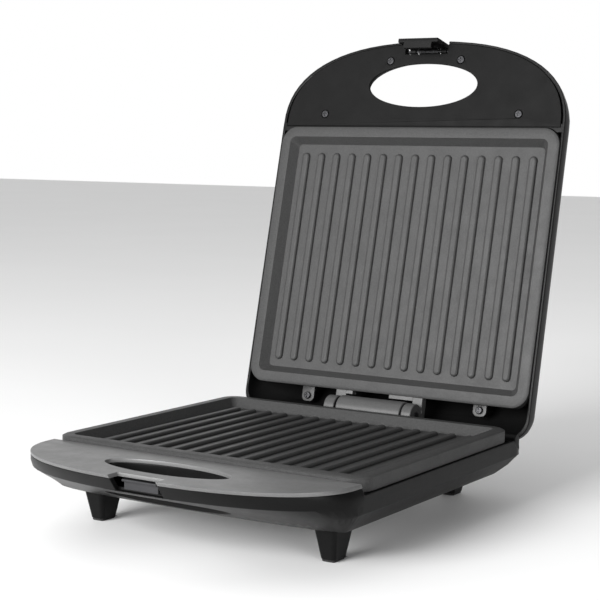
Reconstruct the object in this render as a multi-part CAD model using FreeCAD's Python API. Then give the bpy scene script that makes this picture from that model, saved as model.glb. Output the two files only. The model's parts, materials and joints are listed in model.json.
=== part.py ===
import FreeCAD, Part
import math
import os
from FreeCAD import Vector

# Panini press with a ribbed plate in the base and another in the hinged lid.
# Units are millimetres. X runs along the hinge, -Y is the handle side and +Z is up.
# The origin is on the table, under the middle of the press as it stands open.
# Everything is drawn first about the lower plate: y = 0 at that plate's rear edge and
# z = 0 at its rim. The lid is drawn closed, then turned back about the hinge to stand open.

# ---- driving dimensions ----
RIM_HEIGHT = 52.0            # lower plate's rim above the table
REAR_EDGE_Y = 76.34          # lower plate's rear edge from the origin

PLATE_WIDTH = 220.0
PLATE_DEPTH = 189.0
PLATE_CORNER = 12.0
PLATE_BAND = 8.2             # height of the plate's visible outer band
PLATE_FLOOR_BACK = 9.4       # underside of the pan floor below the rim
SKIRT_DEPTH = 11.0           # depth of the skirt that drops into the housing
SKIRT_INSET = 4.0
SKIRT_WALL = 4.0
RIM_BEVEL = 1.8
RIM_WIDTH = 7.5
PAN_DEPTH = 6.6
PAN_WALL_RUN = 4.5           # how far the sloped pan wall runs inward
RIB_COUNT = 15
RIB_PITCH = 12.92
RIB_WIDTH = 5.8
RIB_HEIGHT = 2.2
RIB_SHOULDER = 1.7           # rounding of the rib's upper edges
RIB_REAR = -17.1             # rear and front ends of the ribs
RIB_FRONT = -170.7

HANDLE_START = -190.5        # where the handle's curved outline leaves the straight sides
HANDLE_REAR = -189.6
COVER_REAR = -190.2          # rear edge of the lid's handle cover
HANDLE_FRONT = -251.8
HANDLE_EXPONENT = 2.4        # superellipse exponent of the handle outline
CURVE_STEPS = 36             # chords along the handle's curved front
SLOT_CENTRE = -219.1
SLOT_HALF_WIDTH = 43.1
SLOT_HALF_DEPTH = 14.9
SLOT_WALL = 2.2
LID_SLOT_CENTRE = -220.0
LID_SLOT_HALF_DEPTH = 15.8
LID_SLOT_STEP_X = 10.0       # how much wider the shell's slot is than its cover's
LID_SLOT_STEP_Y = 3.4
COVER_THICKNESS = 2.5

HINGE_Y = 13.4
HINGE_Z = -2.93
OPEN_ANGLE = 103.44          # lid travel from shut to its stop
CLOSED_GAP = 3.0             # between the two rims with the lid shut
BARREL_RADIUS = 9.2
BARREL_HALF = 25.0
EAR_RADIUS = 8.6
CENTRE_PIN_RADIUS = 3.0
RUNNING_CLEARANCE = 0.05
STOP_INNER = 101.0           # bumps on the base's rear corners, below the opened lid
STOP_OUTER = 109.6
STOP_TOP = -6.0
TROUGH_RADIUS = 12.8
TROUGH_WALL = 2.0

WALL = 2.2
HOUSING_TOP = -8.6
HOUSING_BOTTOM = -30.0
BASE_COVER_BOTTOM = -5.0
BASE_COVER_TAPER = 0.8       # the cover's top edge stands this far in from its bottom edge
REAR_WALL_TOP = -15.0
WELL_HALF = 108.8            # side and front walls of the hollow below the plate
WELL_FRONT = -186.3
GRIP_REAR = -192.5           # rear wall of the hollow inside each handle
REAR_CORNER = 16.0
# z, half width, rear y, front y of the base housing's outline
BASE_LEVELS = [
    (-5.0, 110.2, 22.0, -249.9),
    (-8.6, 111.7, 22.0, -247.3),
    (-13.0, 111.7, 22.0, -244.0),
    (-19.0, 111.3, 21.5, -228.5),
    (-25.0, 106.8, 17.0, -213.0),
    (-30.0, 101.8, 8.0, -200.0),
]

LID_EDGE = 2.0               # lid shell's edge, measured up from the upper rim
LID_TOP = 32.0
LID_HALF_WIDTH = 112.4
LID_REAR = 22.6
LID_NARROWING = 0.5          # the lid is this much narrower on each side at the handle
LID_COVER_HALF = 108.6
LID_COVER_SETBACK = 1.8      # from the shell's front edge to the cover's
LID_SIDE_INSET = 26.0
LID_SIDE_POWER = 3.0         # how late the sides, rear and front curve in over the depth
LID_REAR_POWER = 2.2
LID_FRONT_POWER = 1.6
LID_REAR_INSET = 24.0
LID_FRONT_INSET = 56.0
LID_LEVEL_COUNT = 9
LID_SCREWS = [(-77, -199), (77, -199), (-28, -238), (28, -238)]
LID_SCREW_SEAT = 0.9         # how deep the screw heads sit in the cover
LID_POST_RADIUS = 3.6

TABS = {"left": (-65.2, 6.3), "right": (71.0, 3.4)}   # x and screw y of each tab
TAB_DEPTH = 12.5
TAB_THICKNESS = 2.0
TAB_HALF_WIDTH = 5.0
TAB_FRONT = -20.0
TAB_PAD_REAR = -6.0

LENS_X = 9.0
LENS_Y = -178.0
LENS_RADIUS = 3.6
LENS_STEM_RADIUS = 2.9
LENS_STEM_LENGTH = 3.4
LAMP_RADIUS = 2.2

LATCH_GAP_REAR = -242.6      # rear end of the gap in the lid's front that holds the clip
LATCH_HALF = 16.0
LATCH_PIN_Y = -245.4
LATCH_PIN_DEPTH = 6.6
LATCH_PIN_RADIUS = 1.0
LATCH_PLATE_Y = (-249.8, -247.0)
LATCH_TOP_DEPTH = 10.2
LATCH_FOOT_Z = -9.6
LATCH_HOOK_HALF = 11.0
LATCH_HOOK_HEIGHT = 2.4
LATCH_EYE_RADIUS = 2.4
LATCH_COIL_RADIUS = 2.2
LATCH_COIL_HALF = 8.0

FOOT_X_FRONT = 83.0
FOOT_Y_FRONT = -174.0
FOOT_X_REAR = 61.5
FOOT_Y_REAR = 14.0
FOOT_TOP = (15.5, 23.5)
FOOT_BOTTOM = (9.5, 14.0)
PAD_THICKNESS = 1.2

PLATE_SCREWS = [(-92, -160), (92, -160), (-92, -26), (92, -26)]
POST_TOP = -14.2
POST_RADIUS = 4.0
BOSS_RADIUS = 4.5
SCREW_SEAT = -28.2           # where the screw heads bear, recessed in the housing's bottom
SCREW_HEAD_RECESS = 3.4
SCREW_HOLE = 1.5

INLET_X = -40.0              # cord inlet through the rear wall
INLET_Z = -22.3
INLET_FACE_Y = 22.5
INLET_INNER_Y = 3.0
INLET_HOLE = 4.6
INLET_COLLAR = 5.6
INLET_BEAD = 5.0
INLET_BEAD_LENGTH = 2.4
CORD_RADIUS = 3.2

RECESS_HALF = 16.5           # recess for the latch in the front of the base
RECESS_BACK = -241.0
RECESS_BOTTOM = -12.6
CATCH_HALF = 12.0
CATCH_TOP = -5.6
CATCH_SHEET = 1.2

ELEMENT_RADIUS = 3.25
ELEMENT_HALF_X = 68.0
ELEMENT_FRONT = -152.0
ELEMENT_REAR = -38.0
ELEMENT_BEND = 20.0
ELEMENT_TAIL_X = 26.0
ELEMENT_TAIL_LENGTH = 16.0
ELEMENT_TAIL_BEND = 8.0
CLAMP_HALF = 82.0
CLAMP_HOLE_X = 76.0
REFLECTOR_HALF = 86.0
REFLECTOR_Y = (-180.0, -12.0)
REFLECTOR_BOTTOM = -21.6
REFLECTOR_RIM = 3.4
REFLECTOR_SHEET = 0.8
REFLECTOR_LEGS = [(-79, -168), (79, -168), (-79, -28), (79, -28)]
THERMOSTAT_Y = -95.0
THERMOSTAT_RADIUS = 8.0
THERMOSTAT_HEIGHT = 6.5
FUSE_X = 26.0
FUSE_Y = -92.0
FUSE_Z = -13.6
TERMINAL_X = (-60.0, -24.0)
TERMINAL_Y = (-11.6, -3.0)
TERMINAL_Z = (-27.5, -19.7)

X_AXIS = Vector(1, 0, 0)
Y_AXIS = Vector(0, 1, 0)
Z_AXIS = Vector(0, 0, 1)


# ---- small drawing tools ----
def box(x0, x1, y0, y1, z0, z1):
    return Part.makeBox(x1 - x0, y1 - y0, z1 - z0, Vector(x0, y0, z0))


def rod(radius, start, end):
    run = end - start
    return Part.makeCylinder(radius, run.Length, start, run)


def hinge_rod(radius, x0, x1):
    return rod(radius, Vector(x0, HINGE_Y, HINGE_Z), Vector(x1, HINGE_Y, HINGE_Z))


def ellipse_prism(half_x, half_y, y, z0, z1):
    ring = Part.Ellipse(Vector(0, y, z0), half_x, half_y).toShape()
    return Part.Face(Part.Wire(ring)).extrude(Vector(0, 0, z1 - z0))


def rounded_rect(x0, x1, y0, y1, radius, z):
    c = radius * (1 - math.sqrt(0.5))
    corners = [
        (Vector(x1 - radius, y0, z), Vector(x1 - c, y0 + c, z), Vector(x1, y0 + radius, z)),
        (Vector(x1, y1 - radius, z), Vector(x1 - c, y1 - c, z), Vector(x1 - radius, y1, z)),
        (Vector(x0 + radius, y1, z), Vector(x0 + c, y1 - c, z), Vector(x0, y1 - radius, z)),
        (Vector(x0, y0 + radius, z), Vector(x0 + c, y0 + c, z), Vector(x0 + radius, y0, z)),
    ]
    edges = []
    for i, (start, middle, end) in enumerate(corners):
        edges.append(Part.Arc(start, middle, end).toShape())
        edges.append(Part.makeLine(end, corners[(i + 1) % 4][0]))
    return Part.Wire(edges)


def loft(wires, ruled=True):
    return Part.makeLoft(wires, True, ruled)


def prism(wire, height):
    return Part.Face(wire).extrude(Vector(0, 0, height))


def front_curve(half_width, front_y, z):
    """Curved front of the handle: short chords of a superellipse, from the right round to the left."""
    reach = HANDLE_START - front_y
    points = []
    for step in range(CURVE_STEPS + 1):
        angle = math.pi * step / CURVE_STEPS
        along = math.cos(angle)
        across = max(math.sin(angle), 0)
        x = half_width * math.copysign(abs(along) ** (2 / HANDLE_EXPONENT), along)
        y = HANDLE_START - reach * across ** (2 / HANDLE_EXPONENT)
        points.append(Vector(x, y, z))
    points[-1].y = HANDLE_START
    return Part.makePolygon(points).Edges


def outline(z, half_width, rear_y, front_y, narrowing=0.0):
    """Plan outline of a housing: straight rear with round corners, straight sides, curved front."""
    r = REAR_CORNER
    c = r * (1 - math.sqrt(0.5))
    w = half_width
    n = half_width - narrowing
    left = Part.Arc(Vector(-w, rear_y - r, z), Vector(-w + c, rear_y - c, z), Vector(-w + r, rear_y, z))
    right = Part.Arc(Vector(w - r, rear_y, z), Vector(w - c, rear_y - c, z), Vector(w, rear_y - r, z))
    return Part.Wire([
        Part.makeLine(Vector(-n, HANDLE_START, z), Vector(-w, rear_y - r, z)),
        left.toShape(),
        Part.makeLine(Vector(-w + r, rear_y, z), Vector(w - r, rear_y, z)),
        right.toShape(),
        Part.makeLine(Vector(w, rear_y - r, z), Vector(n, HANDLE_START, z)),
        *front_curve(n, front_y, z),
    ])


def handle_outline(z, half_width, rear_y, front_y):
    w = half_width
    return Part.Wire([
        Part.makeLine(Vector(-w, HANDLE_START, z), Vector(-w, rear_y, z)),
        Part.makeLine(Vector(-w, rear_y, z), Vector(w, rear_y, z)),
        Part.makeLine(Vector(w, rear_y, z), Vector(w, HANDLE_START, z)),
        *front_curve(w, front_y, z),
    ])


def base_section(z):
    """Half width, rear and front of the base housing at height z, between the stated levels."""
    for (z1, *upper), (z0, *lower) in zip(BASE_LEVELS, BASE_LEVELS[1:]):
        if z >= z0:
            share = (z - z0) / (z1 - z0)
            return [low + share * (high - low) for low, high in zip(lower, upper)]
    return list(BASE_LEVELS[-1][1:])


def lid_section(depth):
    """Half width, rear and front of the lid shell, depth mm above the upper plate's rim."""
    t = max(depth - LID_EDGE, 0) / (LID_TOP - LID_EDGE)
    return [
        LID_HALF_WIDTH - LID_SIDE_INSET * t ** LID_SIDE_POWER,
        LID_REAR - LID_REAR_INSET * t ** LID_REAR_POWER,
        HANDLE_FRONT + LID_FRONT_INSET * t ** LID_FRONT_POWER,
    ]


def inset(section, amount):
    half_width, rear_y, front_y = section
    return [half_width - amount, rear_y - amount, front_y + amount]


def pan_head_screw(x, y, z, head_radius, head_height, shank_radius, shank_length, up=1):
    """Cross-slotted screw whose head stands on z and whose shank runs the other way."""
    head = Part.makeCylinder(head_radius, head_height, Vector(x, y, z), Z_AXIS * up)
    head = head.makeFillet(head_height * 0.45, [max(head.Edges, key=lambda e: up * e.CenterOfMass.z)])
    shank = Part.makeCylinder(shank_radius, shank_length, Vector(x, y, z), Z_AXIS * -up)
    slot_half = head_radius * 0.6
    slot_wide = head_radius * 0.14
    top = z + up * head_height
    z0, z1 = sorted((top - up * head_height * 0.45, top + up))
    cross = box(x - slot_half, x + slot_half, y - slot_wide, y + slot_wide, z0, z1)
    cross = cross.fuse(box(x - slot_wide, x + slot_wide, y - slot_half, y + slot_half, z0, z1))
    return head.fuse(shank).removeSplitter().cut(cross)


def tidy(shape):
    """Merges neighbouring faces that lie on one surface; a shape that can't be merged stays."""
    try:
        merged = shape.removeSplitter()
    except Part.OCCError:
        return shape
    return merged if merged.isValid() else shape


# ---- placing: base parts are only moved, lid parts are also turned open ----
def place_base(shape):
    shape = shape.copy()
    shape.translate(Vector(0, REAR_EDGE_Y, RIM_HEIGHT))
    return shape


def place_lid(shape):
    shape = shape.copy()
    shape.rotate(Vector(0, HINGE_Y, HINGE_Z), X_AXIS, -OPEN_ANGLE)
    return place_base(shape)


# ---- grill plates ----
def rib(x):
    """One round-ended rib on the pan floor, with rounded shoulders."""
    r = RIB_WIDTH / 2
    root = 0.5
    floor = -PAN_DEPTH - root
    body = prism(rounded_rect(x - r, x + r, RIB_FRONT, RIB_REAR, r * 0.999, floor), RIB_HEIGHT + root)
    crest = [e for e in body.Edges if e.BoundBox.ZMin > floor + RIB_HEIGHT * 0.9]
    return body.makeFillet(RIB_SHOULDER, crest)


def plate_outline(step_in, z):
    half = PLATE_WIDTH / 2 - step_in
    corner = max(PLATE_CORNER - step_in, 3.0)
    return rounded_rect(-half, half, -PLATE_DEPTH + step_in, -step_in, corner, z)


def grill_plate():
    """Cast plate, rim up: bevelled rim, sloped pan wall, ribbed floor, skirt below."""
    bevel_z = -RIM_BEVEL / 2
    body = prism(plate_outline(0, -PLATE_BAND), PLATE_BAND + bevel_z)
    body = body.fuse(loft([plate_outline(0, bevel_z), plate_outline(RIM_BEVEL, 0)]))
    body = body.fuse(prism(plate_outline(SKIRT_INSET, -SKIRT_DEPTH), SKIRT_DEPTH - PLATE_BAND))
    under = prism(plate_outline(SKIRT_INSET + SKIRT_WALL, -SKIRT_DEPTH), SKIRT_DEPTH - PLATE_FLOOR_BACK)
    pan = loft([plate_outline(RIM_WIDTH, 0), plate_outline(RIM_WIDTH + PAN_WALL_RUN, -PAN_DEPTH)])
    body = body.cut(under).cut(pan)
    first = -RIB_PITCH * (RIB_COUNT - 1) / 2
    ribs = [rib(first + i * RIB_PITCH) for i in range(RIB_COUNT)]
    return body.multiFuse(ribs).removeSplitter()


def upside_down(shape):
    """Turns a plate made rim up into the lid's plate, rim down, above the closed gap."""
    flipped = shape.mirror(Vector(0, 0, 0), Z_AXIS)
    flipped.translate(Vector(0, 0, CLOSED_GAP))
    return flipped


# ---- things both heads share ----
def quarter_turn(start, corner, end):
    """Arc from start to end, tangent at both to the lines that meet at corner."""
    middle = corner + ((start + end) * 0.5 - corner) * (2 - math.sqrt(2))
    return Part.Arc(start, middle, end).toShape()


def element():
    """Sheathed heater: a loop with round corners whose two tails leave at the rear."""
    z = -PLATE_FLOOR_BACK - ELEMENT_RADIUS - 0.1
    b = ELEMENT_BEND
    h = ELEMENT_HALF_X
    t = ELEMENT_TAIL_X
    k = ELEMENT_TAIL_BEND
    rear = ELEMENT_REAR - k
    front = ELEMENT_FRONT
    tail_end = Vector(t, ELEMENT_REAR + ELEMENT_TAIL_LENGTH, z)
    tail_root = Vector(t, ELEMENT_REAR, z)
    path = [
        Part.makeLine(tail_end, tail_root),
        quarter_turn(tail_root, Vector(t, rear, z), Vector(t + k, rear, z)),
        Part.makeLine(Vector(t + k, rear, z), Vector(h - b, rear, z)),
        quarter_turn(Vector(h - b, rear, z), Vector(h, rear, z), Vector(h, rear - b, z)),
        Part.makeLine(Vector(h, rear - b, z), Vector(h, front + b, z)),
        quarter_turn(Vector(h, front + b, z), Vector(h, front, z), Vector(h - b, front, z)),
        Part.makeLine(Vector(h - b, front, z), Vector(0, front, z)),
    ]
    ring = Part.Wire(Part.makeCircle(ELEMENT_RADIUS, tail_end, Y_AXIS))
    half = Part.Wire(path).makePipeShell([ring], True, True)
    return half.fuse(half.mirror(Vector(0, 0, 0), X_AXIS)).removeSplitter()


def element_clamps():
    """Two pressed strips that hold the heater against the back of the plate."""
    top = -PLATE_FLOOR_BACK - 2 * ELEMENT_RADIUS - 0.3
    half_depth = 6.0
    sheet = 1.2
    strips = []
    for y in (ELEMENT_FRONT + 30, ELEMENT_REAR - 34):
        strip = box(-CLAMP_HALF, CLAMP_HALF, y - half_depth, y + half_depth, top - sheet, top)
        for x in (-CLAMP_HOLE_X, CLAMP_HOLE_X):
            strip = strip.cut(rod(1.8, Vector(x, y, top - 2), Vector(x, y, top + 1)))
        strips.append(strip)
    return strips


def reflector():
    """Shallow sheet tray behind the heater, on four legs that stand on the plate's back."""
    x = REFLECTOR_HALF
    front, rear = REFLECTOR_Y
    floor = REFLECTOR_BOTTOM + REFLECTOR_SHEET
    w = REFLECTOR_SHEET
    tray = prism(rounded_rect(-x, x, front, rear, 6, REFLECTOR_BOTTOM), REFLECTOR_RIM)
    hollow = rounded_rect(-x + w, x - w, front + w, rear - w, 6 - w, floor)
    tray = tray.cut(prism(hollow, REFLECTOR_RIM))
    for leg_x, leg_y in REFLECTOR_LEGS:
        foot_end = Vector(leg_x, leg_y, REFLECTOR_BOTTOM + REFLECTOR_SHEET / 2)
        tray = tray.fuse(rod(3.0, foot_end, Vector(leg_x, leg_y, -PLATE_FLOOR_BACK - 0.05)))
    return tray.removeSplitter()


# ---- base ----
def base_outer():
    body = loft([outline(*level) for level in reversed(BASE_LEVELS[1:])])
    raised = [handle_outline(z, w, HANDLE_REAR, front) for z, w, rear, front in reversed(BASE_LEVELS[:2])]
    return body.fuse(loft(raised))


def base_inner():
    """Space inside the base housing, before it is divided between tub and handle."""
    levels = []
    for z in (HOUSING_BOTTOM + WALL + 0.2, -22.6, -16.6, -10.6, BASE_COVER_BOTTOM + 1):
        levels.append(outline(z, *inset(base_section(z - WALL - 0.2), WALL)))
    return loft(levels)


def inlet_point(y):
    return Vector(INLET_X, y, INLET_Z)


def base_housing():
    outer = base_outer()
    inner = base_inner()
    well = inner.common(box(-WELL_HALF, WELL_HALF, WELL_FRONT, 60, -60, HOUSING_TOP + 1))
    mouth = prism(plate_outline(1.2, HOUSING_TOP - 4.4), 6)
    grip = inner.common(box(-150, 150, -300, GRIP_REAR, -60, 10))
    shell = outer.cut(well).cut(mouth).cut(grip)
    trough_wall = hinge_rod(TROUGH_RADIUS + TROUGH_WALL, -108, 108)
    shell = shell.fuse(trough_wall.common(outer).common(box(-150, 150, 0.2, 60, -60, HOUSING_TOP)))
    slot_ring = ellipse_prism(SLOT_HALF_WIDTH + SLOT_WALL, SLOT_HALF_DEPTH + SLOT_WALL, SLOT_CENTRE, -40, 0)
    shell = shell.fuse(slot_ring.common(outer))
    shell = shell.fuse(rod(INLET_COLLAR + 0.8, inlet_point(INLET_INNER_Y), inlet_point(INLET_FACE_Y)))
    shell = shell.cut(hinge_rod(TROUGH_RADIUS, -150, 150))
    shell = shell.cut(box(-150, 150, HINGE_Y, 60, REAR_WALL_TOP, 10))
    for side in (-1, 1):
        shell = shell.fuse(stop_bump(side))
    shell = shell.cut(ellipse_prism(SLOT_HALF_WIDTH, SLOT_HALF_DEPTH, SLOT_CENTRE, -60, 10))
    shell = shell.cut(box(-RECESS_HALF, RECESS_HALF, -260, RECESS_BACK, RECESS_BOTTOM, 10))
    shell = shell.cut(rod(INLET_HOLE, inlet_point(0), inlet_point(40)))
    for x, y in PLATE_SCREWS:
        post = rod(POST_RADIUS, Vector(x, y, HOUSING_BOTTOM + 1), Vector(x, y, POST_TOP))
        shell = shell.fuse(post).cut(rod(SCREW_HOLE, Vector(x, y, -40), Vector(x, y, 0)))
        shell = shell.cut(rod(SCREW_HEAD_RECESS, Vector(x, y, -40), Vector(x, y, SCREW_SEAT)))
    return shell


def stop_bump(side):
    """Low round-topped block in the hinge trough at one rear corner."""
    x0, x1 = sorted((side * STOP_INNER, side * STOP_OUTER))
    middle = Vector(x0, 10.6, STOP_TOP - 3.4)
    top = rod(3.4, middle, middle + Vector(x1 - x0, 0, 0))
    return top.fuse(box(x0, x1, 7.2, 14.0, -20, STOP_TOP - 3.4))


def lower_plate():
    """Grill plate with four cast bosses that stand on the housing's posts."""
    body = grill_plate()
    pilot_end = -PLATE_FLOOR_BACK - 0.8
    for x, y in PLATE_SCREWS:
        boss = rod(BOSS_RADIUS, Vector(x, y, -PLATE_FLOOR_BACK + 0.6), Vector(x, y, POST_TOP + 0.1))
        body = body.fuse(boss).cut(rod(SCREW_HOLE, Vector(x, y, POST_TOP - 1), Vector(x, y, pilot_end)))
    return body


def base_screws():
    z = SCREW_SEAT - 0.02
    return [pan_head_screw(x, y, z, 2.9, 1.5, 1.4, 17.0, up=-1) for x, y in PLATE_SCREWS]


def base_handle_cover():
    half_width, rear_y, front_y = BASE_LEVELS[0][1:]
    low = handle_outline(BASE_COVER_BOTTOM + 0.05, half_width, HANDLE_REAR, front_y)
    top_z = BASE_COVER_BOTTOM + COVER_THICKNESS
    high = handle_outline(top_z, half_width - BASE_COVER_TAPER, HANDLE_REAR, HANDLE_FRONT)
    cover = loft([low, high])
    cover = cover.cut(ellipse_prism(SLOT_HALF_WIDTH, SLOT_HALF_DEPTH, SLOT_CENTRE, -10, 5))
    return cover.cut(box(-RECESS_HALF, RECESS_HALF, -260, RECESS_BACK - 1.4, -10, 5))


def latch_catch():
    """Bent steel lip across the recess, which the lid's clip hooks under."""
    back = RECESS_BACK - 0.05
    under = CATCH_TOP - CATCH_SHEET
    lip = box(-CATCH_HALF, CATCH_HALF, RECESS_BACK - 3.6, back, under, CATCH_TOP)
    leg = box(-CATCH_HALF, CATCH_HALF, back - CATCH_SHEET, back, RECESS_BOTTOM + 1, CATCH_TOP)
    return lip.fuse(leg).removeSplitter()


def hinge_barrel():
    body = hinge_rod(BARREL_RADIUS, -BARREL_HALF, BARREL_HALF)
    body = body.makeFillet(0.8, [e for e in body.Edges if e.Length > 50])
    return body.cut(hinge_rod(CENTRE_PIN_RADIUS + RUNNING_CLEARANCE, -40, 40))


def hinge_bracket():
    """Saddle under the barrel with a flange on each side for its screws."""
    saddle = box(-22, 22, HINGE_Y - 6, HINGE_Y + 2, -16.4, -8)
    saddle = saddle.common(hinge_rod(TROUGH_RADIUS - 0.05, -30, 30))
    return saddle.cut(hinge_rod(BARREL_RADIUS + 0.02, -40, 40))


def foot(x, y, top_z):
    """Tapered foot, longer front to back, ending above its rubber pad."""
    a, b = FOOT_TOP[0] / 2, FOOT_TOP[1] / 2
    c, d = FOOT_BOTTOM[0] / 2, FOOT_BOTTOM[1] / 2
    high = rounded_rect(x - a, x + a, y - b, y + b, 3.0, HOUSING_BOTTOM)
    low = rounded_rect(x - c, x + c, y - d, y + d, 2.4, -RIM_HEIGHT + PAD_THICKNESS)
    body = loft([low, high])
    if top_z > HOUSING_BOTTOM:
        body = body.fuse(prism(high, top_z - HOUSING_BOTTOM)).removeSplitter()
    return body


def rear_underside():
    """Block with the curve of the housing's rear underside, for shaping the rear feet's tops."""
    profile = [Vector(0, rear, z) for z, width, rear, front in BASE_LEVELS[2:]]
    profile += [Vector(0, -60, HOUSING_BOTTOM), Vector(0, -60, BASE_LEVELS[2][0])]
    block = Part.Face(Part.makePolygon(profile + profile[:1])).extrude(Vector(180, 0, 0))
    block.translate(Vector(-90, 0, 0))
    return block


def foot_pad(x, y):
    c, d = FOOT_BOTTOM[0] / 2 - 0.4, FOOT_BOTTOM[1] / 2 - 0.4
    body = prism(rounded_rect(x - c, x + c, y - d, y + d, 2.0, -RIM_HEIGHT), PAD_THICKNESS)
    return body.makeFillet(0.6, [e for e in body.Edges if e.BoundBox.ZMax < -RIM_HEIGHT + 0.1])


def cord_inlet_bush():
    """Collared bush through the rear wall; the mains cord would pass through it."""
    face = INLET_FACE_Y + 0.05
    inner = INLET_INNER_Y - 0.05
    body = rod(INLET_HOLE - 0.05, inlet_point(inner - INLET_BEAD_LENGTH), inlet_point(face))
    body = body.fuse(rod(INLET_COLLAR, inlet_point(face), inlet_point(face + 2.0)))
    body = body.fuse(rod(INLET_BEAD, inlet_point(inner - INLET_BEAD_LENGTH), inlet_point(inner)))
    return tidy(body).cut(rod(CORD_RADIUS, inlet_point(-10), inlet_point(40)))


def thermostat():
    """Disc thermostat on a spring strap, pressed on the middle of the pan floor."""
    y = THERMOSTAT_Y
    top = -PLATE_FLOOR_BACK - 0.1
    under = top - THERMOSTAT_HEIGHT
    body = rod(THERMOSTAT_RADIUS, Vector(0, y, top), Vector(0, y, under))
    body = body.fuse(box(-14, 14, y - 4, y + 4, under - 0.8, under))
    for x in (-11.0, 8.4):
        body = body.fuse(box(x, x + 2.6, y - 2, y + 2, under - 4.0, under - 0.8))
    return body.removeSplitter()


def thermal_fuse():
    x = FUSE_X
    body = rod(2.2, Vector(x, FUSE_Y - 6, FUSE_Z), Vector(x, FUSE_Y + 6, FUSE_Z))
    leads = rod(0.6, Vector(x, FUSE_Y - 20, FUSE_Z), Vector(x, FUSE_Y + 20, FUSE_Z))
    return body.fuse(leads).removeSplitter()


def terminal_block():
    """Three-way screw terminal, open on top over each way."""
    body = box(*TERMINAL_X, *TERMINAL_Y, *TERMINAL_Z)
    middle_y = sum(TERMINAL_Y) / 2
    for x in (-54, -42, -30):
        body = body.cut(rod(2.2, Vector(x, middle_y, -24), Vector(x, middle_y, -18)))
    return body


# ---- lid, drawn shut ----
def lid_z(depth):
    return CLOSED_GAP + depth


def lid_outer():
    levels = []
    for i in range(LID_LEVEL_COUNT):
        depth = LID_EDGE + (LID_TOP - LID_EDGE) * i / (LID_LEVEL_COUNT - 1)
        levels.append(outline(lid_z(depth), *lid_section(depth), LID_NARROWING))
    return loft(levels)


def lid_inner():
    levels = []
    count = LID_LEVEL_COUNT - 2
    for i in range(count):
        depth = LID_EDGE - 1 + (LID_TOP - WALL - LID_EDGE + 1) * i / (count - 1)
        levels.append(outline(lid_z(depth), *inset(lid_section(depth + WALL), WALL - 0.2), LID_NARROWING))
    return loft(levels)


def lid_slot(grow):
    """Finger slot through the lid's shell, wider than the slot in its cover."""
    half_x = SLOT_HALF_WIDTH + LID_SLOT_STEP_X + grow
    half_y = LID_SLOT_HALF_DEPTH + LID_SLOT_STEP_Y + grow
    return ellipse_prism(half_x, half_y, LID_SLOT_CENTRE, lid_z(LID_EDGE - 1), 60)


def lid_housing():
    outer = lid_outer()
    inner = lid_inner()
    chamber = inner.common(box(-150, 150, WELL_FRONT, 60, -10, 60))
    grip = inner.common(box(-150, 150, -300, GRIP_REAR, -10, 60))
    pocket = prism(plate_outline(-0.4, 0), lid_z(PLATE_BAND + 0.6))
    skirt_pocket = prism(plate_outline(SKIRT_INSET - 0.3, 0), lid_z(SKIRT_DEPTH + 0.4))
    shell = outer.cut(chamber).cut(grip).cut(pocket).cut(skirt_pocket)
    shell = shell.fuse(lid_slot(SLOT_WALL).common(outer))
    for x, y in LID_SCREWS:
        post = rod(LID_POST_RADIUS, Vector(x, y, lid_z(5)), Vector(x, y, 60)).common(outer)
        shell = shell.fuse(post)
    start = lid_z(TAB_DEPTH + TAB_THICKNESS + 0.05)
    for x, y in TABS.values():
        shell = shell.fuse(rod(POST_RADIUS, Vector(x, y, start), Vector(x, y, 60)).common(outer))
        shell = shell.cut(rod(1.4, Vector(x, y, 0), Vector(x, y, start + 7)))
    shell = shell.cut(cover_blank(0.1, LID_EDGE - 3, LID_EDGE + COVER_THICKNESS + 0.1))
    for x, y in LID_SCREWS:
        shell = shell.cut(rod(1.3, Vector(x, y, 0), Vector(x, y, lid_z(13))))
    shell = shell.cut(lid_slot(0))
    shell = shell.cut(latch_gap(lid_z(11)))
    shell = shell.cut(rod(LATCH_PIN_RADIUS + 0.02, latch_axis(-20), latch_axis(20)))
    for side in (-1, 1):
        x = side * LENS_X
        shell = shell.cut(rod(LENS_STEM_RADIUS + 0.1, Vector(x, LENS_Y, 10), Vector(x, LENS_Y, 60)))
    return shell


def latch_axis(x):
    return Vector(x, LATCH_PIN_Y, lid_z(LATCH_PIN_DEPTH))


def latch_gap(top_z):
    """Gap in the front of the lid's shell and cover that the clip hangs in."""
    half = LATCH_HALF + 1
    return box(-half, half, -260, LATCH_GAP_REAR, 0, top_z)


def cover_blank(grow, depth0, depth1):
    """The lid handle cover's outline as a prism, grown all round by grow."""
    front_y = HANDLE_FRONT + LID_COVER_SETBACK - grow
    wire = handle_outline(lid_z(depth0), LID_COVER_HALF + grow, COVER_REAR + grow, front_y)
    return prism(wire, depth1 - depth0)


def lid_handle_cover():
    cover = cover_blank(0, LID_EDGE, LID_EDGE + COVER_THICKNESS)
    cover = cover.cut(ellipse_prism(SLOT_HALF_WIDTH, LID_SLOT_HALF_DEPTH, LID_SLOT_CENTRE, -10, 20))
    for x, y in LID_SCREWS:
        cover = cover.cut(rod(1.7, Vector(x, y, 0), Vector(x, y, 20)))
        cover = cover.cut(rod(3.1, Vector(x, y, 0), Vector(x, y, lid_z(LID_EDGE + LID_SCREW_SEAT))))
    return cover.cut(latch_gap(20))


def lid_cover_screws():
    z = lid_z(LID_EDGE + LID_SCREW_SEAT)
    return [pan_head_screw(x, y, z, 2.7, 1.3, 1.25, 8.0, up=-1) for x, y in LID_SCREWS]


def upper_plate():
    """The lid's grill plate, with a pad behind each rear corner for its fixing tab."""
    body = upside_down(grill_plate())
    for x, y in TABS.values():
        x0 = x - TAB_HALF_WIDTH
        x1 = x + TAB_HALF_WIDTH
        pad = box(x0, x1, TAB_FRONT, TAB_PAD_REAR, lid_z(PLATE_FLOOR_BACK - 0.6), lid_z(TAB_DEPTH - 0.05))
        body = body.fuse(pad)
    return tidy(body)


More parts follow.
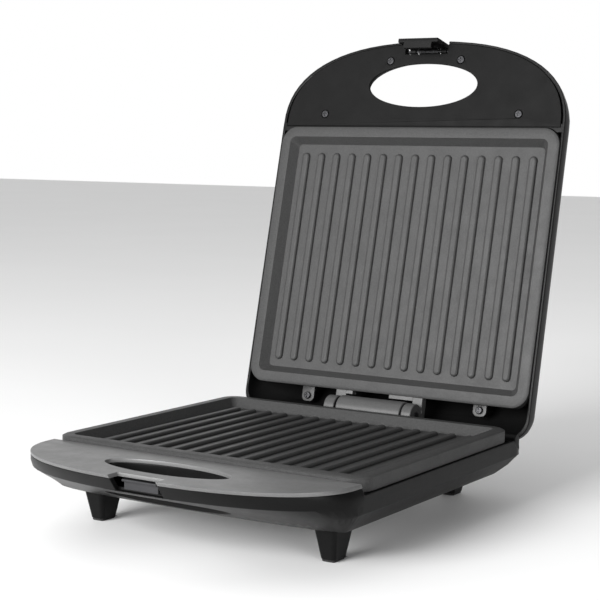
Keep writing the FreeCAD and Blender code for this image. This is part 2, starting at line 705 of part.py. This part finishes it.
def upper_plate_tab(side):
    """Flat steel tab riveted behind the plate; its free round end takes the fixing screw."""
    x, y = TABS[side]
    z = lid_z(TAB_DEPTH)
    x0 = x - TAB_HALF_WIDTH
    x1 = x + TAB_HALF_WIDTH
    blank = prism(rounded_rect(x0, x1, TAB_FRONT, y + 4.2, 3.6, z), TAB_THICKNESS)
    return blank.cut(rod(1.7, Vector(x, y, 0), Vector(x, y, 60)))


def upper_tab_screws():
    z = lid_z(TAB_DEPTH) - 0.02
    return [pan_head_screw(x, y, z, 2.6, 1.6, 1.35, 8.0, up=-1) for x, y in TABS.values()]


def hinge_ear(x0, x1, ledge_x0, ledge_x1):
    """Eye on the centre pin with an arm up to the upper plate's rear edge and a ledge along it."""
    eye = hinge_rod(EAR_RADIUS, x0, x1)
    eye = eye.makeFillet(0.7, [e for e in eye.Edges if e.Length > 40])
    arm = box(x0, x1, 0.1, HINGE_Y, lid_z(0.6), lid_z(6.5))
    ledge = box(ledge_x0, ledge_x1, 0.1, 2.6, lid_z(0.9), lid_z(6.5))
    body = eye.fuse(arm).fuse(ledge)
    body = body.cut(hinge_rod(CENTRE_PIN_RADIUS + RUNNING_CLEARANCE, -60, 60))
    return tidy(body)


def indicator_lens(x):
    """Domed lens on the lid's outer face, with a stem through its hole."""
    top = lid_z(LID_TOP)
    face = top + 0.05
    stem = rod(LENS_STEM_RADIUS, Vector(x, LENS_Y, top - LENS_STEM_LENGTH), Vector(x, LENS_Y, face))
    cap = rod(LENS_RADIUS, Vector(x, LENS_Y, face), Vector(x, LENS_Y, face + 1.55))
    cap = cap.makeFillet(1.1, [max(cap.Edges, key=lambda e: e.CenterOfMass.z)])
    return stem.fuse(cap).removeSplitter()


def indicator_lamp(x):
    """Round-ended lamp just behind its lens."""
    tip_z = lid_z(LID_TOP) - LENS_STEM_LENGTH - 0.2 - LAMP_RADIUS
    tip = Vector(x, LENS_Y, tip_z)
    body = rod(LAMP_RADIUS, Vector(x, LENS_Y, tip_z - 4.2), tip)
    return body.fuse(Part.makeSphere(LAMP_RADIUS, tip)).removeSplitter()


def latch_clip():
    """Spring clip: eyes on the lid's pin, a gripped front plate and a hook at its foot."""
    y0, y1 = LATCH_PLATE_Y
    foot_z = LATCH_FOOT_Z
    half = LATCH_HALF - 0.4
    plate = box(-half, half, y0, y1, foot_z, lid_z(LATCH_TOP_DEPTH))
    hook_x = LATCH_HOOK_HALF
    hook = box(-hook_x, hook_x, y1 - 0.1, RECESS_BACK - 1.9, foot_z, foot_z + LATCH_HOOK_HEIGHT)
    body = plate.fuse(hook)
    for x in range(-12, 13, 4):
        body = body.fuse(box(x - 0.6, x + 0.6, y0 - 0.8, y0 + 0.1, lid_z(-2), lid_z(8)))
    for x0 in (-14.5, 10.0):
        body = body.fuse(rod(LATCH_EYE_RADIUS, latch_axis(x0), latch_axis(x0 + 4.5)))
    coil = LATCH_COIL_HALF + 0.2
    body = body.cut(rod(LATCH_COIL_RADIUS + 0.1, latch_axis(-coil), latch_axis(coil)))
    body = body.cut(rod(LATCH_PIN_RADIUS + RUNNING_CLEARANCE, latch_axis(-30), latch_axis(30)))
    return tidy(body)


def latch_spring():
    """Torsion spring: a close-wound coil round the pin between the clip's eyes."""
    coil = rod(LATCH_COIL_RADIUS, latch_axis(-LATCH_COIL_HALF), latch_axis(LATCH_COIL_HALF))
    return coil.cut(rod(LATCH_PIN_RADIUS + 0.3, latch_axis(-9), latch_axis(9)))


# ---- write every piece ----
def write(name, shapes):
    solids = shapes if isinstance(shapes, list) else [shapes]
    made = []
    for solid in solids:
        made.extend(solid.Solids)
    group = made[0] if len(made) == 1 else Part.makeCompound(made)
    if not group.isValid():
        print("NOT VALID", name)
    group.exportStep("parts/" + name + ".step")
    limits = group.BoundBox
    print(f"{name:24s} solids {len(made)} volume {group.Volume / 1000:8.2f} cm3"
          f"  x {limits.XMin:7.1f} {limits.XMax:7.1f}  y {limits.YMin:7.1f} {limits.YMax:7.1f}"
          f"  z {limits.ZMin:6.1f} {limits.ZMax:6.1f}")
    return limits


def each(place, shapes):
    return [place(shape) for shape in shapes]


def main():
    os.makedirs("parts", exist_ok=True)
    whole = FreeCAD.BoundBox()
    hull = rear_underside()
    feet = {
        "foot_front_left": foot(-FOOT_X_FRONT, FOOT_Y_FRONT, HOUSING_BOTTOM),
        "foot_front_right": foot(FOOT_X_FRONT, FOOT_Y_FRONT, HOUSING_BOTTOM),
        "foot_rear_left": foot(-FOOT_X_REAR, FOOT_Y_REAR, -22).cut(hull),
        "foot_rear_right": foot(FOOT_X_REAR, FOOT_Y_REAR, -22).cut(hull),
    }
    pads = [foot_pad(s * FOOT_X_FRONT, FOOT_Y_FRONT) for s in (-1, 1)]
    pads += [foot_pad(s * FOOT_X_REAR, FOOT_Y_REAR) for s in (-1, 1)]
    centre_pin = hinge_rod(CENTRE_PIN_RADIUS, -35.6, 34.0)
    base = {
        "base_housing": base_housing(),
        "base_handle_cover": base_handle_cover(),
        "latch_catch": latch_catch(),
        "lower_grill_plate": lower_plate(),
        "lower_heating_element": element(),
        "lower_element_clamps": element_clamps(),
        "lower_heat_reflector": reflector(),
        "thermostat": thermostat(),
        "thermal_fuse": thermal_fuse(),
        "terminal_block": terminal_block(),
        "cord_inlet_bush": cord_inlet_bush(),
        "hinge_barrel": hinge_barrel(),
        "hinge_bracket": hinge_bracket(),
        "centre_hinge_pin": centre_pin,
        "foot_pads": pads,
        "base_screws": base_screws(),
        **feet,
    }
    lid = {
        "lid_housing": lid_housing(),
        "lid_handle_cover": lid_handle_cover(),
        "lid_cover_screws": lid_cover_screws(),
        "upper_grill_plate": upper_plate(),
        "upper_plate_tab_left": upper_plate_tab("left"),
        "upper_plate_tab_right": upper_plate_tab("right"),
        "upper_tab_screws": upper_tab_screws(),
        "hinge_ear_left": hinge_ear(-35.0, -27.0, -28.0, -22.0),
        "hinge_ear_right": hinge_ear(26.0, 33.4, 7.0, 32.0),
        "upper_heating_element": upside_down(element()),
        "upper_element_clamps": [upside_down(s) for s in element_clamps()],
        "upper_heat_reflector": upside_down(reflector()),
        "indicator_lens_power": indicator_lens(-LENS_X),
        "indicator_lens_ready": indicator_lens(LENS_X),
        "indicator_lamps": [indicator_lamp(s * LENS_X) for s in (-1, 1)],
        "latch_pin": rod(LATCH_PIN_RADIUS, latch_axis(-18.5), latch_axis(18.5)),
        "latch_spring": latch_spring(),
        "latch_clip": latch_clip(),
    }
    for name, shapes in base.items():
        group = shapes if isinstance(shapes, list) else [shapes]
        whole.add(write(name, each(place_base, group)))
    for name, shapes in lid.items():
        group = shapes if isinstance(shapes, list) else [shapes]
        whole.add(write(name, each(place_lid, group)))
    print("whole", whole)


main()
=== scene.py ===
import json
import math

import bmesh
import bpy
from mathutils import Matrix, Vector


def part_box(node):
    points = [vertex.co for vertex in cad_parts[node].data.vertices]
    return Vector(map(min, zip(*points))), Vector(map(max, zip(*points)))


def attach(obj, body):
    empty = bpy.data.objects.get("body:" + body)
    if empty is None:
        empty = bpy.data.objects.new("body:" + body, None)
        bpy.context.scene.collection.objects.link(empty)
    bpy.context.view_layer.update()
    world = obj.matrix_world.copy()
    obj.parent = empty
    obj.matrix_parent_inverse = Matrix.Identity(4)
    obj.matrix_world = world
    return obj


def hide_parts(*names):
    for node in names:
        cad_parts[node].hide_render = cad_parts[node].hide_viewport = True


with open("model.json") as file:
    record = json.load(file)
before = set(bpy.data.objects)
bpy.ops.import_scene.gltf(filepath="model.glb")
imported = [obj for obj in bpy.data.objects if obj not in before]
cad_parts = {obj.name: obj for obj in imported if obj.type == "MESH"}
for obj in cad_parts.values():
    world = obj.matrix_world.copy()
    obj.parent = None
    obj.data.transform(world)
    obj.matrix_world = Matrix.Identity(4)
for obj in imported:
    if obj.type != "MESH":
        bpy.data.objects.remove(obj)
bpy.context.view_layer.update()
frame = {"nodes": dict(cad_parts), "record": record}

NODES = frame["nodes"]
MM = 0.001

# ---- camera ----
CAMERA_AZIMUTH = 32.43       # degrees from the front towards +X
CAMERA_ELEVATION = 5.78
CAMERA_ROLL = 0.72
CAMERA_DISTANCE = 0.98234
CAMERA_LENS = 93.17          # focal length and sensor width in mm
CAMERA_SENSOR = 36.0
CAMERA_NEAR = 0.05
CAMERA_FAR = 50.0
CAMERA_TARGET = Vector((-0.00143, -0.00318, 0.13358))

# ---- light ----
WORLD_LEFT = 1.0             # strength of the surround at its left and right ends
WORLD_RIGHT = 0.12
WORLD_ACROSS = (0.94, -0.1, 0.0)   # direction in which the surround falls off
WORLD_FALL = (-0.35, 0.6)    # where along it the fall starts and ends
LIGHT_TARGET = (0, 0, 0.14)
KEY_PLACE = (-0.45, -2.15, 0.72)
KEY_SIZE = 1.25
KEY_POWER = 105.0
FILL_PLACE = (2.1, -1.3, 0.5)
FILL_SIZE = 1.2
FILL_POWER = 32.0

# ---- floor ----
FLOOR_HALF = 6.0
FLOOR_LEVELS = (0.84, 0.86)


# ---- node material helpers ----
NOISE_LOW = 0.3              # nearly all noise values lie between these
NOISE_HIGH = 0.7
STREAK_DEPTH = 0.00001       # of the drawing streaks on steel
MIX_FIRST_COLOUR = 6         # the colour sockets of the mix node, which share their names
MIX_SECOND_COLOUR = 7
MIX_COLOUR_RESULT = 2


class Shader:
    """A Principled material with shortcuts for procedural detail in object space."""

    def __init__(self, name, roughness, metallic=0.0):
        self.material = bpy.data.materials.new(name)
        self.material.use_nodes = True
        self.tree = self.material.node_tree
        self.surface = self.tree.nodes["Principled BSDF"]
        self.surface.inputs["Roughness"].default_value = roughness
        self.surface.inputs["Metallic"].default_value = metallic
        self.place = self.tree.nodes.new("ShaderNodeTexCoord").outputs["Object"]

    def link(self, source, target):
        self.tree.links.new(source, target)

    def stretched(self, stretch):
        node = self.tree.nodes.new("ShaderNodeMapping")
        node.inputs["Scale"].default_value = stretch
        self.link(self.place, node.inputs["Vector"])
        return node.outputs["Vector"]

    def noise(self, scale, detail=4.0, roughness=0.55, stretch=None):
        node = self.tree.nodes.new("ShaderNodeTexNoise")
        node.inputs["Scale"].default_value = scale
        node.inputs["Detail"].default_value = detail
        node.inputs["Roughness"].default_value = roughness
        self.link(self.stretched(stretch) if stretch else self.place, node.inputs["Vector"])
        return node.outputs["Fac"]

    def cells(self, scale):
        node = self.tree.nodes.new("ShaderNodeTexVoronoi")
        node.inputs["Scale"].default_value = scale
        self.link(self.place, node.inputs["Vector"])
        return node.outputs["Distance"]

    def ramp(self, value, low, high, colours):
        node = self.tree.nodes.new("ShaderNodeValToRGB")
        node.color_ramp.elements[0].position = low
        node.color_ramp.elements[1].position = high
        for element, colour in zip(node.color_ramp.elements, colours):
            element.color = (*colour, 1.0)
        self.link(value, node.inputs["Fac"])
        return node.outputs["Color"]

    def mix(self, share, first, second):
        node = self.tree.nodes.new("ShaderNodeMix")
        node.data_type = "RGBA"
        node.inputs["Factor"].default_value = share
        self.link(first, node.inputs[MIX_FIRST_COLOUR])
        self.link(second, node.inputs[MIX_SECOND_COLOUR])
        return node.outputs[MIX_COLOUR_RESULT]

    def spread(self, value, low, high):
        """Spreads the usual range of a noise value between low and high."""
        node = self.tree.nodes.new("ShaderNodeMapRange")
        node.inputs["From Min"].default_value = NOISE_LOW
        node.inputs["From Max"].default_value = NOISE_HIGH
        node.inputs["To Min"].default_value = low
        node.inputs["To Max"].default_value = high
        self.link(value, node.inputs["Value"])
        return node.outputs["Result"]

    def colour(self, source):
        self.link(source, self.surface.inputs["Base Color"])

    def roughness(self, source):
        self.link(source, self.surface.inputs["Roughness"])

    def bump(self, height, distance):
        node = self.tree.nodes.new("ShaderNodeBump")
        node.inputs["Distance"].default_value = distance
        node.inputs["Strength"].default_value = 1.0
        self.link(height, node.inputs["Height"])
        self.link(node.outputs["Normal"], self.surface.inputs["Normal"])

    def set(self, **values):
        for key, value in values.items():
            self.surface.inputs[key.replace("_", " ")].default_value = value


def grey(level):
    return (level, level, level)


def moulded_plastic(name, level, roughness, grain=900.0, depth=0.00002, specular=0.5):
    """Injection-moulded plastic: fine spark texture, faint flow variation and uneven gloss."""
    s = Shader(name, roughness)
    flow = s.noise(14.0, 3.0)
    fine = s.noise(grain, 2.0, 0.6)
    tone = s.ramp(flow, 0.35, 0.7, (grey(level * 0.92), grey(level * 1.1)))
    speck = s.ramp(fine, 0.4, 0.75, (grey(level * 0.8), grey(level * 1.5)))
    s.colour(s.mix(0.35, tone, speck))
    s.roughness(s.spread(s.noise(180.0, 4.0, 0.6), roughness - 0.02, roughness + 0.03))
    s.bump(fine, depth)
    s.set(Specular_IOR_Level=specular)
    return s


def coated_metal(name, level, roughness, grain, depth, speck, specular):
    """Sprayed coating on cast aluminium: tiny pebbled grain with pale specks and soft mottling."""
    s = Shader(name, roughness)
    pebble = s.noise(grain, 3.0, 0.7)
    mottle = s.noise(38.0, 4.0, 0.6)
    ground = s.ramp(mottle, 0.3, 0.72, (grey(level * 0.93), grey(level * 1.07)))
    specks = s.ramp(pebble, 0.38, 0.72, (grey(level * 0.72), grey(level * speck)))
    s.colour(s.mix(0.5, ground, specks))
    s.roughness(s.spread(s.noise(90.0, 4.0, 0.6), roughness - 0.05, roughness + 0.06))
    s.bump(pebble, depth)
    s.set(Specular_IOR_Level=specular)
    return s


def drawn_steel(name, colour, roughness, stretch, metallic=1.0):
    """Bare or plated steel with streaks along its drawing direction."""
    s = Shader(name, roughness, metallic)
    streak = s.noise(260.0, 6.0, 0.7, stretch)
    blotch = s.noise(55.0, 3.0)
    dark = tuple(c * 0.78 for c in colour)
    streaks = s.ramp(streak, 0.3, 0.7, (dark, colour))
    blotches = s.ramp(blotch, 0.3, 0.75, (dark, colour))
    s.colour(s.mix(0.4, streaks, blotches))
    s.roughness(s.spread(streak, roughness - 0.07, roughness + 0.1))
    s.bump(streak, STREAK_DEPTH)
    return s


def clear_lens(name, colour):
    s = Shader(name, 0.12)
    s.set(Transmission_Weight=0.85, IOR=1.49)
    ring = s.noise(900.0, 2.0)
    s.colour(s.ramp(ring, 0.2, 0.9, (tuple(c * 0.85 for c in colour), colour)))
    s.bump(s.cells(1400.0), 0.00004)
    return s


def make_materials():
    shine = {
        "housing_plastic": moulded_plastic("black_housing", 0.0045, 0.34, specular=0.08),
        "clip_plastic": moulded_plastic("black_clip", 0.003, 0.45, specular=0.1),
        "bush_plastic": moulded_plastic("black_bush", 0.008, 0.5, specular=0.3),
        "terminal_plastic": moulded_plastic("cream_terminal", 0.5, 0.5),
        "grey_cover": coated_metal(
            "grey_cover", 0.105, 0.42, grain=1500.0, depth=0.00002, speck=1.12, specular=0.5),
        "charcoal_cover": coated_metal(
            "charcoal_cover", 0.004, 0.55, grain=1300.0, depth=0.00003, speck=1.5, specular=0.07),
        "coated_plate": coated_metal(
            "non_stick_plate", 0.031, 0.48, grain=1000.0, depth=0.0001, speck=1.7, specular=0.2),
        "coated_hinge": coated_metal(
            "non_stick_hinge", 0.05, 0.4, grain=1100.0, depth=0.00004, speck=1.4, specular=0.35),
        "tab_steel": drawn_steel(
            "tab_steel", (0.025, 0.025, 0.025), 0.45, stretch=(1, 1, 0.1), metallic=0.3),
        "heater_steel": drawn_steel("heater_steel", (0.26, 0.23, 0.2), 0.45, stretch=(1, 1, 0.2)),
        "sheet_steel": drawn_steel(
            "blackened_sheet", (0.025, 0.025, 0.027), 0.45, stretch=(0.08, 1, 1), metallic=0.6),
        "reflector_sheet": drawn_steel("mill_aluminium", (0.6, 0.6, 0.61), 0.34, stretch=(0.05, 1, 1)),
        "pin_steel": drawn_steel(
            "blackened_pin", (0.05, 0.05, 0.052), 0.38, stretch=(1, 0.05, 0.05), metallic=0.8),
        "spring_steel": drawn_steel(
            "blackened_spring", (0.05, 0.05, 0.052), 0.36, stretch=(1, 0.1, 0.1), metallic=0.8),
        "screw_steel": drawn_steel(
            "black_zinc_screw", (0.03, 0.03, 0.032), 0.4, stretch=(1, 1, 1), metallic=0.8),
        "pad_rubber": moulded_plastic(
            "rubber_pad", 0.01, 0.75, grain=1200.0, depth=0.00004, specular=0.3),
        "fuse_glass_sleeve": moulded_plastic("woven_sleeve", 0.5, 0.8, grain=1600.0, depth=0.00008),
        "red_lens": clear_lens("red_lens", (0.75, 0.03, 0.02)),
        "green_lens": clear_lens("green_lens", (0.04, 0.6, 0.12)),
        "lamp_glass": clear_lens("lamp_glass", (0.9, 0.8, 0.7)),
    }
    return {slot: s.material for slot, s in shine.items()}


# ---- shading and small edge rounding of the CAD pieces ----
BEVELS_MM = {
    "base_housing": 0.5, "lid_housing": 0.5, "base_handle_cover": 0.45, "lid_handle_cover": 0.35,
    "latch_clip": 0.3,
    "foot_front_left": 0.8, "foot_front_right": 0.8,
    "foot_rear_left": 0.8, "foot_rear_right": 0.8,
    "upper_plate_tab_left": 0.3, "upper_plate_tab_right": 0.3,
    "hinge_ear_left": 0.35, "hinge_ear_right": 0.35, "latch_catch": 0.2,
}
BEVEL_SEGMENTS = 2
WIRE_RADIUS = 0.42 * MM
COIL_PITCH = 0.95 * MM
COIL_STEPS = 20              # points round one turn
WIRE_SIDES = 10
RIB_OFFSETS = (0.6 * MM, 1.9 * MM, 3.2 * MM)   # of the recess ribs, from the catch's right end
RIB_WIDTH = 0.7 * MM
RIB_DEPTH = 2.4 * MM
RIB_SHORTER = 0.4 * MM       # than the catch is high
RIB_SET_BACK = 1.0 * MM
RIB_ROUNDING = 0.15 * MM
SHARP_ANGLE = math.radians(32)
LID_SHARP_ANGLE = math.radians(20)   # for the lid shell, whose shoulder is a shallow edge
WELD_DISTANCE = 0.00001


def finish_node(name, material):
    piece = NODES[name]
    sharp_angle = LID_SHARP_ANGLE if name == "lid_housing" else SHARP_ANGLE
    piece.data.materials.clear()
    piece.data.materials.append(material)
    piece.data.shade_smooth()
    weld = piece.modifiers.new("weld", "WELD")
    weld.merge_threshold = WELD_DISTANCE
    if name in BEVELS_MM:
        bevel = piece.modifiers.new("edge", "BEVEL")
        bevel.width = BEVELS_MM[name] * MM
        bevel.segments = BEVEL_SEGMENTS
        bevel.limit_method = "ANGLE"
        bevel.angle_limit = sharp_angle
        bevel.use_clamp_overlap = False
    split = piece.modifiers.new("sharp", "EDGE_SPLIT")
    split.split_angle = sharp_angle
    even = piece.modifiers.new("even", "WEIGHTED_NORMAL")
    even.mode = "FACE_AREA_WITH_ANGLE"


# ---- added pieces ----
def new_piece(name, shape, body, material):
    """Turns a bmesh into a scene object that moves with a body and carries a slot's material."""
    bmesh.ops.recalc_face_normals(shape, faces=shape.faces)
    mesh = bpy.data.meshes.new(name)
    shape.to_mesh(mesh)
    shape.free()
    mesh.materials.append(material)
    mesh.shade_smooth()
    mesh.set_sharp_from_angle(angle=SHARP_ANGLE)
    piece = bpy.data.objects.new(name, mesh)
    bpy.context.scene.collection.objects.link(piece)
    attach(piece, body)
    return piece


def coil_spring(materials):
    """Close-wound wire coil in place of the plain sleeve on the latch pin."""
    low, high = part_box("latch_spring")
    middle = (low + high) / 2
    coil_radius = (high.y - low.y) / 2 - WIRE_RADIUS
    reach = (high.x - low.x) / 2 - WIRE_RADIUS
    turns = 2 * reach / COIL_PITCH
    steps = int(turns * COIL_STEPS)
    path = []
    for i in range(steps + 1):
        angle = 2 * math.pi * i / COIL_STEPS
        x = middle.x - reach + 2 * reach * i / steps
        y = middle.y + coil_radius * math.cos(angle)
        z = middle.z + coil_radius * math.sin(angle)
        path.append(Vector((x, y, z)))
    shape = bmesh.new()
    rings = []
    for i, point in enumerate(path):
        along = (path[min(i + 1, steps)] - path[max(i - 1, 0)]).normalized()
        outward = Vector((0, point.y - middle.y, point.z - middle.z)).normalized()
        side = along.cross(outward).normalized()
        ring = []
        for k in range(WIRE_SIDES):
            turn = 2 * math.pi * k / WIRE_SIDES
            spoke = math.cos(turn) * outward + math.sin(turn) * side
            ring.append(shape.verts.new(point + WIRE_RADIUS * spoke))
        rings.append(ring)
    for first, second in zip(rings, rings[1:]):
        for k in range(WIRE_SIDES):
            n = (k + 1) % WIRE_SIDES
            shape.faces.new((first[k], first[n], second[n], second[k]))
    shape.faces.new(rings[0])
    shape.faces.new(rings[-1])
    piece = new_piece("latch_coil", shape, "lid", materials["spring_steel"])
    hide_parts("latch_spring")


def recess_ribs(materials):
    """Three thin upright ribs in the latch recess, to the right of the catch."""
    low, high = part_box("latch_catch")
    shape = bmesh.new()
    for offset in RIB_OFFSETS:
        sides = Matrix.Diagonal((RIB_WIDTH, RIB_DEPTH, high.z - low.z - RIB_SHORTER, 1.0))
        place = Matrix.Translation((high.x + offset, high.y - RIB_SET_BACK, (low.z + high.z) / 2))
        bmesh.ops.create_cube(shape, size=1.0, matrix=place @ sides)
    bmesh.ops.bevel(
        shape, geom=shape.edges[:], offset=RIB_ROUNDING, segments=BEVEL_SEGMENTS, affect="EDGES")
    new_piece("recess_ribs", shape, "base", materials["housing_plastic"])


# ---- studio ----
def area_light(name, place, size, power):
    """Square light that faces the press."""
    data = bpy.data.lights.new(name, "AREA")
    data.shape = "SQUARE"
    data.size = size
    data.energy = power
    light = bpy.data.objects.new(name, data)
    light.location = place
    aim = Vector(LIGHT_TARGET) - Vector(place)
    light.rotation_euler = aim.to_track_quat("-Z", "Y").to_euler()
    bpy.context.scene.collection.objects.link(light)


def floor():
    mesh = bpy.data.meshes.new("floor")
    half = FLOOR_HALF
    corners = [(-half, -half, 0), (half, -half, 0), (half, half, 0), (-half, half, 0)]
    mesh.from_pydata(corners, [], [(0, 1, 2, 3)])
    plane = bpy.data.objects.new("floor", mesh)
    bpy.context.scene.collection.objects.link(plane)
    s = Shader("white_floor", 0.7)
    s.colour(s.ramp(s.noise(3.0, 2.0), 0.2, 0.8, [grey(level) for level in FLOOR_LEVELS]))
    mesh.materials.append(s.material)


def studio():
    """White surround that falls off to the right, a soft key at the front left and a weak fill."""
    world = bpy.data.worlds.new("studio")
    bpy.context.scene.world = world
    world.use_nodes = True
    tree = world.node_tree
    sky = tree.nodes["Background"]
    sky.inputs["Color"].default_value = (1, 1, 1, 1)
    direction = tree.nodes.new("ShaderNodeTexCoord").outputs["Generated"]
    across = tree.nodes.new("ShaderNodeVectorMath")
    across.operation = "DOT_PRODUCT"
    across.inputs[1].default_value = WORLD_ACROSS
    tree.links.new(direction, across.inputs[0])
    fall = tree.nodes.new("ShaderNodeMapRange")
    fall.inputs["From Min"].default_value = WORLD_FALL[0]
    fall.inputs["From Max"].default_value = WORLD_FALL[1]
    fall.inputs["To Min"].default_value = WORLD_LEFT
    fall.inputs["To Max"].default_value = WORLD_RIGHT
    tree.links.new(across.outputs["Value"], fall.inputs["Value"])
    tree.links.new(fall.outputs["Result"], sky.inputs["Strength"])
    area_light("key", KEY_PLACE, KEY_SIZE, KEY_POWER)
    area_light("fill", FILL_PLACE, FILL_SIZE, FILL_POWER)
    floor()


def camera():
    azimuth = math.radians(CAMERA_AZIMUTH)
    elevation = math.radians(CAMERA_ELEVATION)
    roll = math.radians(CAMERA_ROLL)
    back = Vector((math.sin(azimuth) * math.cos(elevation),
                   -math.cos(azimuth) * math.cos(elevation),
                   math.sin(elevation)))
    level = (-back).cross(Vector((0, 0, 1))).normalized()
    rise = level.cross(-back)
    right = math.cos(roll) * level + math.sin(roll) * rise
    up = -math.sin(roll) * level + math.cos(roll) * rise
    data = bpy.data.cameras.new("camera")
    data.sensor_width = CAMERA_SENSOR
    data.lens = CAMERA_LENS
    data.clip_start = CAMERA_NEAR
    data.clip_end = CAMERA_FAR
    seen = bpy.data.objects.new("camera", data)
    seen.matrix_world = Matrix.Translation(CAMERA_TARGET + back * CAMERA_DISTANCE) @ Matrix(
        (right, up, back)).transposed().to_4x4()
    bpy.context.scene.collection.objects.link(seen)
    bpy.context.scene.camera = seen


def main():
    materials = make_materials()
    for subpart in frame["record"]["subparts"]:
        finish_node(subpart["node"], materials[subpart["material_slot"]])
    coil_spring(materials)
    recess_ribs(materials)
    studio()
    camera()
    bpy.context.scene.view_settings.view_transform = "Standard"


main()
